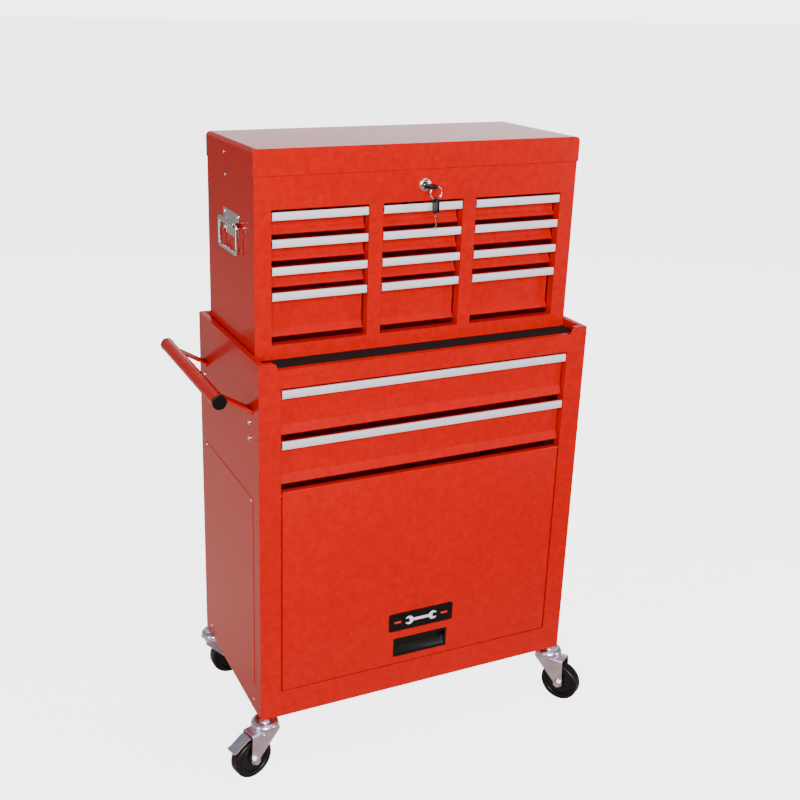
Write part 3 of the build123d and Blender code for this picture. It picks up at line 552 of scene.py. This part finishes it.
# The black mouldings are satin plastic with a faint spark-eroded grain.
plastic = bpy.data.materials.new("black_moulded_plastic")
plastic.use_nodes = True
plastic_tree = plastic.node_tree
plastic_shader = plastic_tree.nodes["Principled BSDF"]
plastic_place = plastic_tree.nodes.new("ShaderNodeTexCoord")
plastic_grain = plastic_tree.nodes.new("ShaderNodeTexNoise")
plastic_grain.inputs["Scale"].default_value = 1600
node_link(plastic_tree, plastic_place.outputs["Object"], plastic_grain.inputs["Vector"])
plastic_tone = plastic_tree.nodes.new("ShaderNodeValToRGB")
plastic_tone.color_ramp.elements[0].color = (0.0015, 0.0013, 0.0013, 1)
plastic_tone.color_ramp.elements[1].color = (0.005, 0.0042, 0.0042, 1)
node_link(plastic_tree, plastic_grain.outputs["Fac"], plastic_tone.inputs["Fac"])
node_link(plastic_tree, plastic_tone.outputs["Color"], plastic_shader.inputs["Base Color"])
plastic_bump = plastic_tree.nodes.new("ShaderNodeBump")
plastic_bump.inputs["Strength"].default_value = 0.2
plastic_bump.inputs["Distance"].default_value = 0.0002
node_link(plastic_tree, plastic_grain.outputs["Fac"], plastic_bump.inputs["Height"])
node_link(plastic_tree, plastic_bump.outputs["Normal"], plastic_shader.inputs["Normal"])
plastic_shader.inputs["Roughness"].default_value = 0.3
plastic_shader.inputs["Specular IOR Level"].default_value = 0.3
eased_copy("door_pull_cup", "door", plastic, 0.0005)
eased_copy("name_plate", "door", plastic, 0.0003)

# --- Push handle ---
# A red steel tube along the left side, plugged with plastic caps, carried by two flat bars that
# pass through slots in the side and are bolted to it inside.
eased_copy("handle_tube", "cabinet", red, 0.0004)
eased_copy("handle_brackets", "cabinet", red, 0.0006)
eased_copy("handle_caps", "cabinet", plastic, 0.0015)

# --- Door badge ---
# The badge is a black plate with a plain raised emblem printed in white: a double-ended spanner
# lying between two red bars.
badge_low, badge_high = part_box("name_plate")
badge_mid = (badge_low + badge_high) / 2


def print_paint(name, colour):
    """Matt printing ink, broken up a little by the grain it is printed on."""
    material = bpy.data.materials.new(name)
    material.use_nodes = True
    tree = material.node_tree
    shader = tree.nodes["Principled BSDF"]
    place = tree.nodes.new("ShaderNodeTexCoord")
    grain = tree.nodes.new("ShaderNodeTexNoise")
    grain.inputs["Scale"].default_value = 700
    node_link(tree, place.outputs["Object"], grain.inputs["Vector"])
    ramp = tree.nodes.new("ShaderNodeValToRGB")
    ramp.color_ramp.elements[0].color = (*[0.8 * value for value in colour], 1)
    ramp.color_ramp.elements[1].color = (*colour, 1)
    node_link(tree, grain.outputs["Fac"], ramp.inputs["Fac"])
    node_link(tree, ramp.outputs["Color"], shader.inputs["Base Color"])
    shader.inputs["Roughness"].default_value = 0.5
    return material


def raised_print(name, outlines, material):
    """Flat (x, z) outlines about the badge's middle, raised a little off its face."""
    bm = bmesh.new()
    for outline in outlines:
        bm.faces.new([bm.verts.new((badge_mid.x + x, badge_low.y, badge_mid.z + z))
                      for x, z in outline])
    made = bmesh.ops.extrude_face_region(bm, geom=bm.faces[:])["geom"]
    front = [item for item in made if isinstance(item, bmesh.types.BMVert)]
    bmesh.ops.translate(bm, vec=(0, -0.0003, 0), verts=front)
    return finish_piece(name, bm, "door", material)


def spanner_outline(reach, waist, head, jaw):
    """A spanner with an open jaw at each end, as one outline walked anticlockwise."""
    half = []
    spread = math.asin(waist / head)
    for step in range(11):
        turn = -math.pi + spread + (math.pi - spread - jaw) * step / 10
        half.append((reach + head * math.cos(turn), head * math.sin(turn)))
    half.append((reach - head * 0.1, -head * math.sin(jaw)))
    half.append((reach - head * 0.1, head * math.sin(jaw)))
    for step in range(11):
        turn = jaw + (math.pi - spread - jaw) * step / 10
        half.append((reach + head * math.cos(turn), head * math.sin(turn)))
    return half + [(-x, -z) for x, z in half]


ink_white = print_paint("white_ink", (0.9, 0.9, 0.9))
ink_red = print_paint("red_ink", (0.75, 0.01, 0.008))
raised_print("badge_spanner", [spanner_outline(0.024, 0.0028, 0.0085, 0.5)], ink_white)
bar_x0, bar_x1, bar_half = 0.04, 0.054, 0.0022
bars = [[(side * bar_x0, -bar_half), (side * bar_x1, -bar_half), (side * bar_x1, bar_half),
         (side * bar_x0, bar_half)] for side in (-1, 1)]
raised_print("badge_bars", bars, ink_red)

# --- Casters ---
# Each caster is a pressed fork that turns on a ball cup under the stem, with a hard rubber wheel
# on a hexagon-headed axle. The two on the handle's side carry a foot pedal for the brake.
rubber = bpy.data.materials.new("hard_black_rubber")
rubber.use_nodes = True
rubber_tree = rubber.node_tree
rubber_shader = rubber_tree.nodes["Principled BSDF"]
rubber_place = rubber_tree.nodes.new("ShaderNodeTexCoord")
rubber_scuff = rubber_tree.nodes.new("ShaderNodeTexNoise")
rubber_scuff.inputs["Scale"].default_value = 220
rubber_scuff.inputs["Detail"].default_value = 6
node_link(rubber_tree, rubber_place.outputs["Object"], rubber_scuff.inputs["Vector"])
rubber_tone = rubber_tree.nodes.new("ShaderNodeValToRGB")
rubber_tone.color_ramp.elements[0].position = 0.35
rubber_tone.color_ramp.elements[0].color = (0.0015, 0.0015, 0.0015, 1)
rubber_tone.color_ramp.elements[1].position = 0.8
rubber_tone.color_ramp.elements[1].color = (0.006, 0.006, 0.0062, 1)
node_link(rubber_tree, rubber_scuff.outputs["Fac"], rubber_tone.inputs["Fac"])
node_link(rubber_tree, rubber_tone.outputs["Color"], rubber_shader.inputs["Base Color"])
rubber_gloss = rubber_tree.nodes.new("ShaderNodeMapRange")
rubber_gloss.inputs["To Min"].default_value = 0.22
rubber_gloss.inputs["To Max"].default_value = 0.4
rubber_shader.inputs["Specular IOR Level"].default_value = 0.35
node_link(rubber_tree, rubber_scuff.outputs["Fac"], rubber_gloss.inputs["Value"])
node_link(rubber_tree, rubber_gloss.outputs["Result"], rubber_shader.inputs["Roughness"])
rubber_bump = rubber_tree.nodes.new("ShaderNodeBump")
rubber_bump.inputs["Strength"].default_value = 0.12
rubber_bump.inputs["Distance"].default_value = 0.0003
node_link(rubber_tree, rubber_scuff.outputs["Fac"], rubber_bump.inputs["Height"])
node_link(rubber_tree, rubber_bump.outputs["Normal"], rubber_shader.inputs["Normal"])

wheel_r, wheel_half = 0.037, 0.0115
trail = 0.03
crown_z, leg_t, leg_y = 0.088, 0.0025, 0.01425
tip_r, pedal_x, pedal_z = 0.009, 0.012, 0.081
crown_back, crown_front, crown_skirt = -0.022, 0.036, 0.008
head_r, head_t, head_y, pedal_half = 0.0075, 0.005, 0.018, 0.011
joint_of = {joint["name"]: joint for joint in frame["joints"]}


def add_fork_bracket(bm):
    """One sheet bent down at both sides into two legs that narrow to a round tip."""
    top = crown_z - leg_t / 2
    for side in (-1, 1):
        y = side * leg_y
        outline = [(crown_back, top), (crown_front, top)]
        for step in range(9):
            turn = math.pi * step / 8
            outline.append((trail + tip_r * math.cos(turn), wheel_r - tip_r * math.sin(turn)))
        outline.append((crown_back, crown_z - crown_skirt))
        bm.faces.new([bm.verts.new((x, y, z)) for x, z in outline])
    plate = [(crown_back, -leg_y), (crown_front, -leg_y), (crown_front, leg_y), (crown_back, leg_y)]
    bm.faces.new([bm.verts.new((x, y, top)) for x, y in plate])
    bmesh.ops.remove_doubles(bm, verts=bm.verts, dist=1e-6)
    bmesh.ops.recalc_face_normals(bm, faces=bm.faces)
    folds = [edge for edge in bm.edges if len(edge.link_faces) == 2]
    bmesh.ops.bevel(bm, geom=folds, offset=0.003, segments=4, profile=0.5, affect="EDGES",
                    material=-1)


def hexagon(across, thick):
    """A chamfered hexagon head centred on the origin, its axis along Z."""
    bm = bmesh.new()
    bmesh.ops.create_cone(bm, cap_ends=True, segments=6, radius1=across, radius2=across, depth=thick)
    ends = [edge for edge in bm.edges if abs(edge.verts[0].co.z - edge.verts[1].co.z) < 1e-6]
    bmesh.ops.bevel(bm, geom=ends, offset=0.0006, segments=2, profile=0.5, affect="EDGES", material=-1)
    return bm


def tyre_outline():
    """Half of the wheel's section as (radius, width) points, from the bore to the tread's middle."""
    edge = 0.004
    points = [(0.00405, wheel_half), (0.0102, wheel_half), (0.011, wheel_half - 0.0008),
              (0.0116, wheel_half - 0.003), (0.0252, wheel_half - 0.003),
              (0.026, wheel_half - 0.0006), (0.0268, wheel_half), (0.0292, wheel_half),
              (0.0297, wheel_half - 0.0008), (0.0305, wheel_half - 0.0008), (0.031, wheel_half)]
    for step in range(6):
        turn = math.pi / 2 * step / 5
        points.append((wheel_r - edge + edge * math.sin(turn),
                       wheel_half - edge + edge * math.cos(turn)))
    return points


for name in ("front_left", "front_right", "rear_left", "rear_right"):
    swivel = joint_of[f"swivel_{name}"]["pos_m"]
    hub = joint_of[f"roll_{name}"]["pos_m"]
    heading = math.atan2(hub[1] - swivel[1], hub[0] - swivel[0])
    place = Matrix.Translation((swivel[0], swivel[1], 0)) @ Matrix.Rotation(heading, 4, "Z")

    bm = bmesh.new()
    add_fork_bracket(bm)
    bmesh.ops.transform(bm, matrix=place, verts=bm.verts)
    bracket = finish_piece(f"fork_bracket_{name}", bm, f"caster_{name}", zinc, 0.0004, 35,
                           leg_t)
    bracket.modifiers["sheet thickness"].offset = 0
    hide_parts(f"fork_{name}")

    bm = bmesh.new()
    cup = turned([(0.0053, 0.0885), (0.0236, 0.0885), (0.0246, 0.0893), (0.0248, 0.0925),
                  (0.0242, 0.0955), (0.0228, 0.0978), (0.0208, 0.0992), (0.0188, 0.0998),
                  (0.0168, 0.1), (0.0158, 0.0996), (0.015, 0.0984), (0.0138, 0.0978),
                  (0.0105, 0.0978), (0.0098, 0.0984), (0.0092, 0.0998), (0.0053, 0.1)], 64)
    add_part(bm, cup, place)
    for side in (-1, 1):
        head = hexagon(head_r, head_t)
        seat = Matrix.Translation((trail, side * head_y, wheel_r)) @ along_y
        add_part(bm, head, place @ seat)
    shank = turned([(0.0001, -0.0202), (0.0034, -0.0202), (0.004, -0.0196), (0.004, 0.0196),
                    (0.0034, 0.0202), (0.0001, 0.0202)], 24)
    add_part(bm, shank, place @ Matrix.Translation((trail, 0, wheel_r)) @ along_y)
    cup_and_axle = finish_piece(f"cup_and_axle_{name}", bm, f"caster_{name}", zinc, 0.0, 40)
    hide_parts(f"fork_{name}")

    half = tyre_outline()
    section = [(radius, -width) for radius, width in half] + half[::-1]
    bm = turned(section, 72)
    bmesh.ops.transform(bm, verts=bm.verts,
                        matrix=place @ Matrix.Translation((trail, 0, wheel_r)) @ along_y)
    wheel = finish_piece(f"tyre_{name}", bm, f"wheel_{name}", rubber, 0.0, 35)
    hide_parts(f"wheel_{name}")

    if f"brake_{name}" in joint_of:
        bm = bmesh.new()
        line = [(0.010, 0.0785), (0.042, 0.0822), (0.068, 0.0666), (0.0725, 0.0665)]
        verts = [bm.verts.new((x, -pedal_half, z)) for x, z in line]
        edges = [bm.edges.new(pair) for pair in zip(verts, verts[1:])]
        made = bmesh.ops.extrude_edge_only(bm, edges=edges)["geom"]
        far = [item for item in made if isinstance(item, bmesh.types.BMVert)]
        bmesh.ops.translate(bm, vec=(0, 2 * pedal_half, 0), verts=far)
        folds = [edge for edge in bm.edges if len(edge.link_faces) == 2]
        bmesh.ops.bevel(bm, geom=folds, offset=0.004, segments=4, profile=0.5, affect="EDGES",
                        material=-1)
        corners = [vert for vert in bm.verts if len(vert.link_edges) == 2]
        bmesh.ops.bevel(bm, geom=corners, offset=0.004, segments=4, profile=0.5, affect="VERTICES",
                        material=-1)
        bmesh.ops.transform(bm, matrix=place, verts=bm.verts)
        pad = finish_piece(f"pedal_lever_{name}", bm, f"pedal_{name}", zinc, 0.0004,
                           35, 0.003)
        pad.modifiers["sheet thickness"].offset = 0
        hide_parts(f"pedal_{name}")
        bm = bmesh.new()
        for radius, reach in ((0.002, 0.018), (0.004, 0.0125)):
            pin = turned([(0.0001, -reach), (radius * 0.8, -reach), (radius, radius * 0.2 - reach),
                          (radius, reach - radius * 0.2), (radius * 0.8, reach), (0.0001, reach)], 24)
            add_part(bm, pin, place @ Matrix.Translation((pedal_x, 0, pedal_z)) @ along_y)
        pin_piece = finish_piece(f"pedal_pin_{name}", bm, f"pedal_{name}", zinc)
        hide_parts(f"pedal_{name}")

# --- Drop handles ---
# A loop of chromed rod hangs in a plate that is rolled round it, with four rivets. The loop
# swings outwards on the rolled barrel.
rod_r, loop_w, loop_h, loop_corner = 0.003, 0.09, 0.046, 0.004
plate_half, plate_t, barrel_r = 0.04, 0.0012, 0.0052
plate_skirt, plate_flange, plate_corner = -0.023, 0.018, 0.004


def bent_loop(width, height, corner, radius):
    """A closed rectangle of round rod in the YZ plane, hung from its top middle at the origin."""
    bm = bmesh.new()
    ring = bmesh.ops.create_circle(bm, segments=16, radius=radius)["verts"]
    spot = Vector((0, corner - width / 2, 0))
    bmesh.ops.transform(bm, verts=ring, matrix=Matrix.Translation(spot) @ along_y)
    edges = bm.edges[:]
    heading = Vector((0, 1, 0))
    for reach in (width, height, width, height):
        made = bmesh.ops.extrude_edge_only(bm, edges=edges)["geom"]
        fresh = [item for item in made if isinstance(item, bmesh.types.BMVert)]
        edges = [item for item in made if isinstance(item, bmesh.types.BMEdge)
                 and set(item.verts).issubset(fresh)]
        step = heading * (reach - 2 * corner)
        bmesh.ops.translate(bm, vec=step, verts=fresh)
        spot += step
        inward = Matrix.Rotation(-math.pi / 2, 3, "X") @ heading
        made = bmesh.ops.spin(bm, geom=edges, cent=spot + inward * corner, axis=(1, 0, 0),
                              angle=-math.pi / 2, steps=5, use_duplicate=False)["geom_last"]
        edges = [item for item in made if isinstance(item, bmesh.types.BMEdge)]
        spot += (heading + inward) * corner
        heading = inward
    bmesh.ops.remove_doubles(bm, verts=bm.verts, dist=1e-6)
    return bm


for side, name in ((-1, "left"), (1, "right")):
    hang = Vector(joint_of[f"bail_{name}_swing"]["pos_m"])
    bm = bent_loop(loop_w, loop_h, loop_corner, rod_r)
    bmesh.ops.translate(bm, vec=hang, verts=bm.verts)
    loop = finish_piece(f"bail_loop_{name}", bm, f"bail_{name}", chrome, 0.0, 60)
    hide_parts(f"bail_{name}")

    # The plate's section runs up the wall, round the rod and on up to its upper edge.
    wall_x = side * (barrel_r + plate_t / 2)
    rolled = barrel_r - plate_t / 2
    section = [(wall_x, plate_skirt), (wall_x, -rolled)]
    for step in range(13):
        turn = math.pi * step / 12
        section.append((-side * rolled * math.sin(turn), -rolled * math.cos(turn)))
    section += [(wall_x, rolled), (wall_x, plate_flange)]
    bm = bmesh.new()
    verts = [bm.verts.new((-x, -plate_half, z)) for x, z in section]
    edges = [bm.edges.new(pair) for pair in zip(verts, verts[1:])]
    made = bmesh.ops.extrude_edge_only(bm, edges=edges)["geom"]
    far = [item for item in made if isinstance(item, bmesh.types.BMVert)]
    bmesh.ops.translate(bm, vec=(0, 2 * plate_half, 0), verts=far)
    corners = [vert for vert in bm.verts if len(vert.link_edges) == 2]
    bmesh.ops.bevel(bm, geom=corners, offset=plate_corner, segments=4, profile=0.5, affect="VERTICES",
                    material=-1)
    bmesh.ops.translate(bm, vec=hang, verts=bm.verts)
    plate = finish_piece(f"bail_plate_{name}", bm, "chest", chrome, 0.0003, 35, plate_t)
    plate.modifiers["sheet thickness"].offset = 0
    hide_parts("bail_plates")

# --- Lock and keys ---
# A cam lock through the front of the chest: a domed chromed bezel, a plug that turns in it and the
# key, whose moulded head has an eye. A split ring through it carries the spare key.
lock_at = Vector(joint_of["key_turn"]["pos_m"])
bezel_r, sleeve_r, plug_r = 0.0108, 0.009, 0.007
lock_frame = Matrix.Translation(lock_at) @ Matrix.Rotation(math.pi / 2, 4, "X")
bm = turned([(plug_r + 0.00005, -0.016), (sleeve_r, -0.016), (sleeve_r, -0.004),
             (bezel_r + 0.001, -0.004), (bezel_r + 0.001, -0.0012), (sleeve_r, -0.0012),
             (sleeve_r, 0), (bezel_r, 0), (bezel_r, 0.0012), (0.0104, 0.0024), (0.0096, 0.0034),
             (0.0086, 0.0039), (0.0078, 0.004), (0.0073, 0.0037), (plug_r + 0.00005, 0.003)], 56)
bmesh.ops.transform(bm, matrix=lock_frame, verts=bm.verts)
bezel = finish_piece("lock_bezel", bm, "chest", chrome, 0.0, 35)
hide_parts("lock_housing")

bm = turned([(0.0001, -0.017), (plug_r, -0.017), (plug_r, 0.0022), (0.0066, 0.0028),
             (0.0058, 0.003), (0.0054, 0.0026), (0.0001, 0.0022)], 48)
bmesh.ops.transform(bm, matrix=lock_frame, verts=bm.verts)
key_blade = ((0.007, 0.010, 0.002), (0, -0.005, 0))
lock_cam = ((0.01, 0.002, 0.024), (0, 0.018, 0.006))
for size, centre in (key_blade, lock_cam):
    bar = bmesh.new()
    bmesh.ops.create_cube(bar, size=1)
    bmesh.ops.scale(bar, vec=size, verts=bar.verts)
    bmesh.ops.bevel(bar, geom=bar.edges, offset=0.0004, segments=2, profile=0.5, affect="EDGES",
                    material=-1)
    add_part(bm, bar, Matrix.Translation(lock_at + Vector(centre)))
plug = finish_piece("lock_plug_and_cam", bm, "key", chrome, 0.0, 35)
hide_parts("lock_plug")


def key_head_shape(width, length, thick, eye_r, eye_up):
    """A moulded key head in the XY plane: a flat rounded slab with an eye."""
    bm = bmesh.new()
    bmesh.ops.create_grid(bm, x_segments=1, y_segments=1, size=0.5)
    bmesh.ops.scale(bm, vec=(width, length, 1), verts=bm.verts)
    bmesh.ops.bevel(bm, geom=bm.verts[:], offset=width * 0.42, segments=8, profile=0.5,
                    affect="VERTICES", material=-1)
    hole = bmesh.ops.create_circle(bm, segments=24, radius=eye_r)["verts"]
    bmesh.ops.translate(bm, vec=(0, eye_up, 0), verts=hole)
    bmesh.ops.delete(bm, geom=list(bm.faces), context="FACES_ONLY")
    bmesh.ops.triangle_fill(bm, edges=bm.edges[:], use_beauty=True)
    bmesh.ops.recalc_face_normals(bm, faces=bm.faces)
    flat = list(bm.faces)
    made = bmesh.ops.extrude_face_region(bm, geom=flat)["geom"]
    lifted = [item for item in made if isinstance(item, bmesh.types.BMVert)]
    bmesh.ops.translate(bm, vec=(0, 0, thick), verts=lifted)
    bmesh.ops.translate(bm, vec=(0, 0, -thick / 2), verts=bm.verts)
    bmesh.ops.recalc_face_normals(bm, faces=bm.faces)
    return bm


head_low, head_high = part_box("key_head")
head_mid = (head_low + head_high) / 2
head_length = head_high.y - head_low.y
bm = key_head_shape(head_high.x - head_low.x, head_length, head_high.z - head_low.z, 0.0042, -0.006)
bmesh.ops.translate(bm, vec=head_mid, verts=bm.verts)
head = finish_piece("key_head_moulding", bm, "key", plastic, 0.0008, 40)
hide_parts("key_head")

# The ring is two turns of wire; the spare key hangs from it by its own eye.
ring_r, wire_r = 0.011, 0.0007
ring_mid = Vector((0.0065, head_low.y + 0.006, lock_at.z - 0.0092))
bm = bmesh.new()
wire = bmesh.ops.create_circle(bm, segments=8, radius=wire_r)["verts"]
bmesh.ops.translate(bm, vec=(ring_r - wire_r, 0, 0), verts=wire)
bmesh.ops.transform(bm, matrix=Matrix.Rotation(math.pi / 2, 4, "X"), verts=bm.verts)
turns, ring_steps = 2, 96
bmesh.ops.transform(bm, matrix=Matrix.Rotation(math.pi / 2, 4, "X"), verts=bm.verts)
bmesh.ops.spin(bm, geom=bm.edges[:], cent=(0, 0, 0), axis=(0, 1, 0), angle=turns * 2 * math.pi,
               steps=ring_steps, dvec=(0, 2.1 * wire_r / ring_steps * turns, 0), use_duplicate=False)
ends = [edge for edge in bm.edges if len(edge.link_faces) == 1]
bmesh.ops.holes_fill(bm, edges=ends, sides=0)
bmesh.ops.translate(bm, vec=ring_mid, verts=bm.verts)
finish_piece("split_ring", bm, "chest", chrome, 0.0, 60)

spare_top = ring_mid.z - ring_r + 0.003
spare_length, spare_width, spare_t = 0.026, 0.018, 0.0034
bm = key_head_shape(spare_width, spare_length, spare_t, 0.0022, spare_length / 2 - 0.0036)
upright = Matrix.Rotation(math.pi / 2, 4, "Z") @ Matrix.Rotation(math.pi / 2, 4, "X")
hang_spot = Vector((ring_mid.x, ring_mid.y, spare_top - spare_length / 2))
bmesh.ops.transform(bm, matrix=Matrix.Translation(hang_spot) @ upright, verts=bm.verts)
finish_piece("spare_key_head", bm, "chest", plastic, 0.0006, 40)

bm = bmesh.new()
bmesh.ops.create_cube(bm, size=1)
bmesh.ops.scale(bm, vec=(0.002, 0.007, 0.028), verts=bm.verts)
for count in range(4):
    bmesh.ops.bisect_plane(bm, geom=bm.verts[:] + bm.edges[:] + bm.faces[:],
                           plane_co=(0, 0, 0.002 - 0.0034 * count), plane_no=(0, 0, 1))
teeth = [vert for vert in bm.verts if vert.co.y > 0.003 and -0.0133 < vert.co.z < 0.003]
bmesh.ops.translate(bm, vec=(0, -0.0012, 0), verts=teeth[::2])
bmesh.ops.translate(bm, vec=hang_spot - Vector((0, 0, spare_length / 2 + 0.012)), verts=bm.verts)
finish_piece("spare_key_blade", bm, "chest", chrome, 0.0003)
